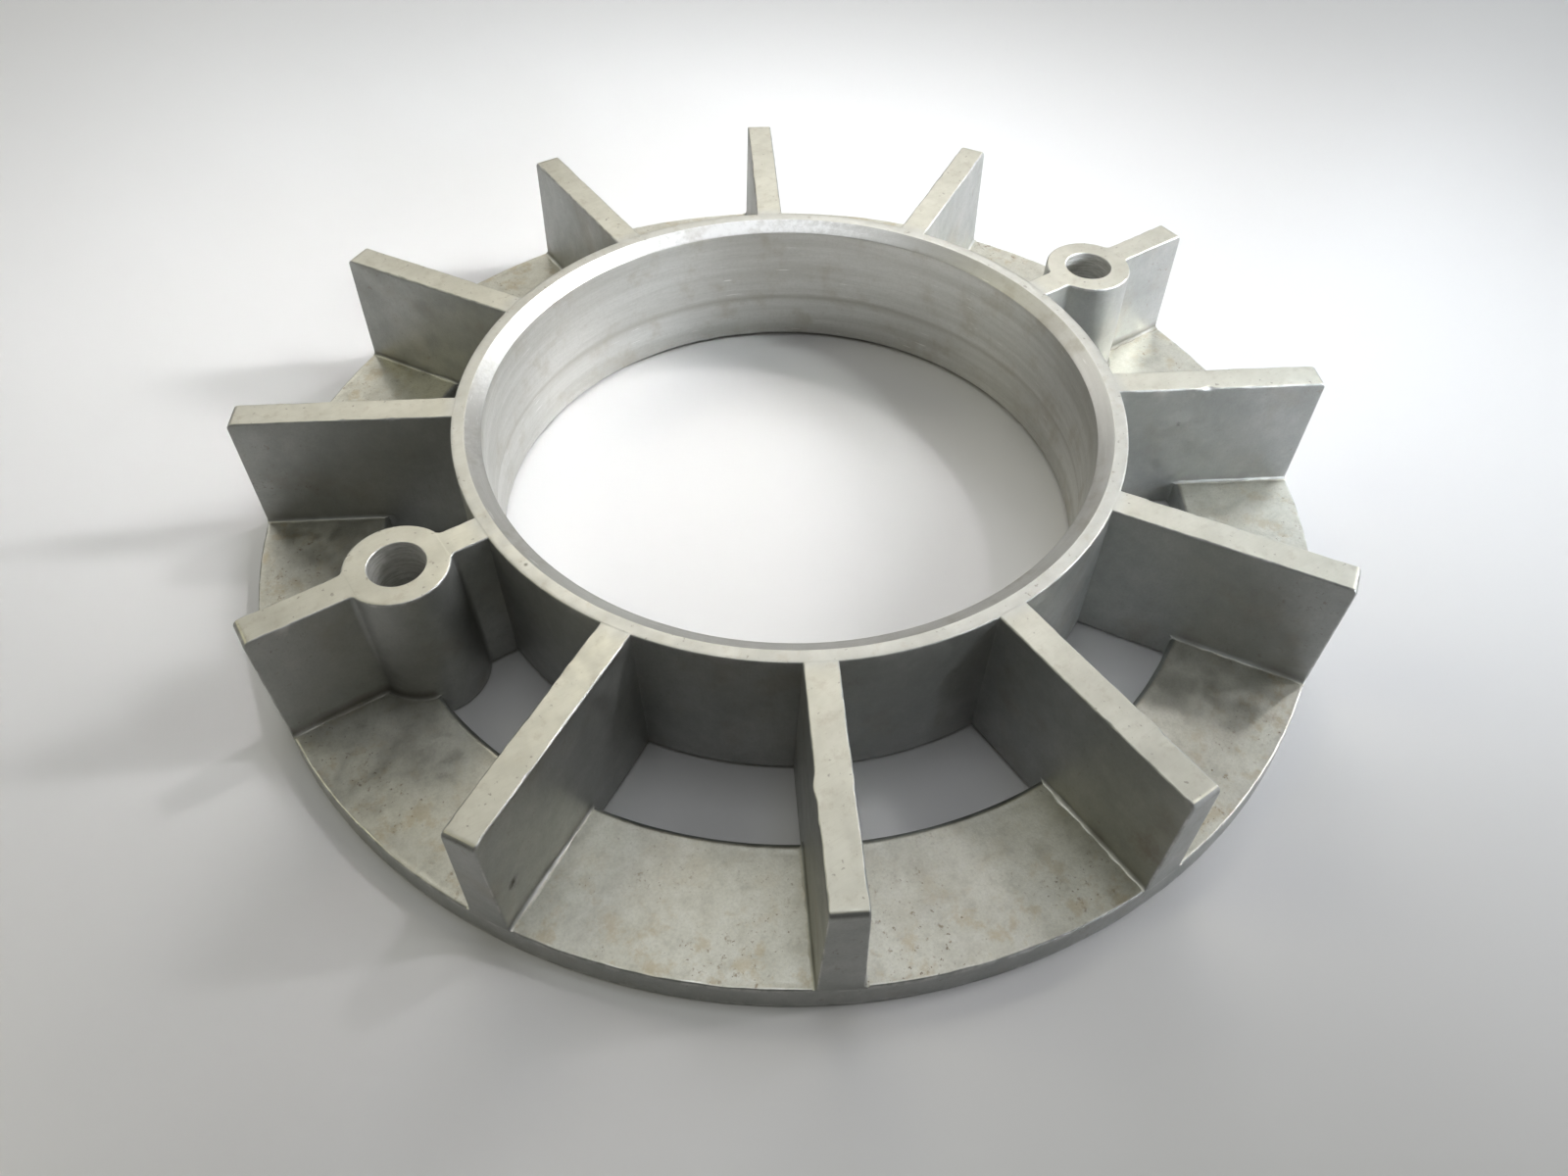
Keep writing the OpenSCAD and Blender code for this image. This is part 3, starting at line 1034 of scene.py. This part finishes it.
def build_object():
    cast = cast_skin()
    linished = linished_top()
    build_hub([turned_bore(), cast, linished])
    build_flange([cast])
    rng = np.random.default_rng(7)
    hub = (0.0, hub_wall, HUB_BLEND)
    boss = (BOSS_ORBIT, boss_wall, BOSS_BLEND)
    for i, node in enumerate(FIN_NAMES):
        inner = boss if node in BOSS_FINS else hub
        fin = Rib(inner, None, 10.0 * i, random_nicks(rng), BURRS.get(node, []))
        build_rib(f"fin_{i + 1:02d}_cast", node, i * PITCH, fin, [cast, linished])
    drilled = drilled_hole()
    for i in (1, 2):
        angle = (i - 1) * math.pi
        web = Rib(hub, boss, 200.0 + i, [], [])
        build_boss(f"boss_{i}", f"screw_boss_{i}", angle, [cast, linished, drilled])
        build_rib(f"web_{i}", f"boss_web_{i}", angle, web, [cast, linished])


# ---------------------------------------------------------------- stage, light and camera

def build_floor():
    """A wide flat floor, just under the flange's underside."""
    size = 40 * FLANGE_R
    height = -0.02 * MM
    corners = [(-size, -size, height), (size, -size, height), (size, size, height), (-size, size, height)]
    mesh = bpy.data.meshes.new("floor")
    mesh.from_pydata(corners, [], [(0, 1, 2, 3)])
    mesh.materials.append(floor_paint())
    floor = bpy.data.objects.new("floor", mesh)
    bpy.context.scene.collection.objects.link(floor)


# The camera stands off the object's front, where the photograph was taken from
CAMERA_LENS = 25.24
CAMERA_AZIMUTH = math.radians(235.08)
CAMERA_ELEVATION = math.radians(49.76)
CAMERA_ROLL = math.radians(1.087)
CAMERA_DISTANCE = 129.15 * MM
AIM_AHEAD = 35.07 * MM
AIM_RIGHT = -0.34 * MM


def build_camera():
    """A wide lens close to the object, aimed at a point level with the top and nearer than its middle."""
    towards = Vector((math.cos(CAMERA_AZIMUTH), math.sin(CAMERA_AZIMUTH), 0))
    right = Vector((-towards.y, towards.x, 0))
    aim = Vector((0, 0, TOP)) + towards * AIM_AHEAD + right * AIM_RIGHT
    back = towards * math.cos(CAMERA_ELEVATION) + Vector((0, 0, math.sin(CAMERA_ELEVATION)))
    camera = bpy.data.objects.new("camera", bpy.data.cameras.new("camera"))
    camera.data.lens = CAMERA_LENS
    camera.data.sensor_width = 36.0
    camera.data.clip_start = 1 * MM
    camera.data.clip_end = 20.0
    turn = (-back).to_track_quat("-Z", "Y").to_matrix().to_4x4()
    roll = Matrix.Rotation(CAMERA_ROLL, 4, "Z")
    camera.matrix_world = Matrix.Translation(aim + back * CAMERA_DISTANCE) @ turn @ roll
    bpy.context.scene.collection.objects.link(camera)
    bpy.context.scene.camera = camera


WHITE = (1.0, 1.0, 1.0)
BLUISH = (0.86, 0.92, 1.0)
SKY = (0.80, 0.9, 1.0)
FAINT_SKY = (0.93, 0.96, 1.0)
FAINT_GREEN = (0.96, 1.0, 0.98)
FAINT_PINK = (1.0, 0.98, 1.0)
CREAM = (1.0, 0.96, 0.84)
YELLOWISH = (1.0, 0.98, 0.74)
WORLD_TINT = rgb(1.0, 0.99, 0.93)


def from_the_front(azimuth):
    """A direction counted anticlockwise from the camera's right-hand side, as an angle about Z."""
    return CAMERA_AZIMUTH + math.radians(azimuth + 90)


def area_light(name, azimuth, elevation, size, power, colour=WHITE, distance=1.0, aim=(0, 0), angle=180):
    """A soft light of (width, height), with its power in watts. Its direction is counted from the camera's
    right-hand side, aim is a place on the floor as millimetres (right, back) from the axis, and angle is
    how wide it shines."""
    way = Vector(at_angle(math.cos(math.radians(elevation)), from_the_front(azimuth)))
    way.z = math.sin(math.radians(elevation))
    right_and_back = Vector((aim[0] * MM, aim[1] * MM, 0))
    target = Matrix.Rotation(from_the_front(0), 3, "Z") @ right_and_back
    data = bpy.data.lights.new(name, "AREA")
    data.shape = "RECTANGLE"
    data.size, data.size_y = size
    data.energy = power
    data.color = colour
    data.spread = math.radians(angle)
    light = bpy.data.objects.new(name, data)
    facing = (way * distance - target).to_track_quat("Z", "Y").to_matrix().to_4x4()
    light.matrix_world = Matrix.Translation(way * distance) @ facing
    bpy.context.scene.collection.objects.link(light)


def build_world():
    """A faint even light from all round."""
    world = bpy.data.worlds.new("studio")
    world.use_nodes = True
    background = world.node_tree.nodes["Background"]
    background.inputs["Color"].default_value = WORLD_TINT
    background.inputs["Strength"].default_value = 0.075
    bpy.context.scene.world = world


def build_beams():
    """Narrow beams, mostly from the right, which light the bore and the back and leave the front dim."""
    wide = (0.22, 0.22)
    small = (0.15, 0.15)
    area_light("key_high", 0, 46, wide, 0.047, FAINT_GREEN, aim=(-15, 100), angle=14)
    area_light("key", 12, 34, wide, 0.068, FAINT_PINK, aim=(-10, 60), angle=14)
    area_light("key_low", 12, 28, small, 0.03, aim=(-20, 70), angle=11)
    area_light("front_right", 320, 14, small, 0.044, BLUISH, aim=(75, 40), angle=9)
    area_light("low_right", 340, 14, small, 0.026, BLUISH, aim=(70, 50), angle=9)
    area_light("back_left_beam", 40, 52, small, 0.02, aim=(-30, 30), angle=8)


def build_soft_lights():
    """Wide soft lights round the object and overhead."""
    area_light("window", 19, 20, (0.10, 0.3), 0.9)
    area_light("high_right", 25, 58, (0.35, 0.35), 0.14)
    area_light("near_right", 40, 28, (0.25, 0.2), 0.32, SKY, distance=0.5)
    area_light("near_back", 75, 45, (0.2, 0.2), 0.22, distance=0.5)
    area_light("back", 90, 38, (0.4, 0.35), 0.68)
    area_light("high_back", 108, 50, (0.3, 0.2), 0.72, CREAM)
    area_light("near_left", 135, 30, (0.25, 0.2), 0.15, distance=0.5)
    area_light("left", 180, 40, (0.4, 0.35), 1.23, YELLOWISH)
    area_light("overhead", 90, 88, (0.5, 0.5), 1.5, FAINT_SKY)


build_object()
build_floor()
build_camera()
build_world()
build_beams()
build_soft_lights()
bpy.context.scene.view_settings.view_transform = "Standard"
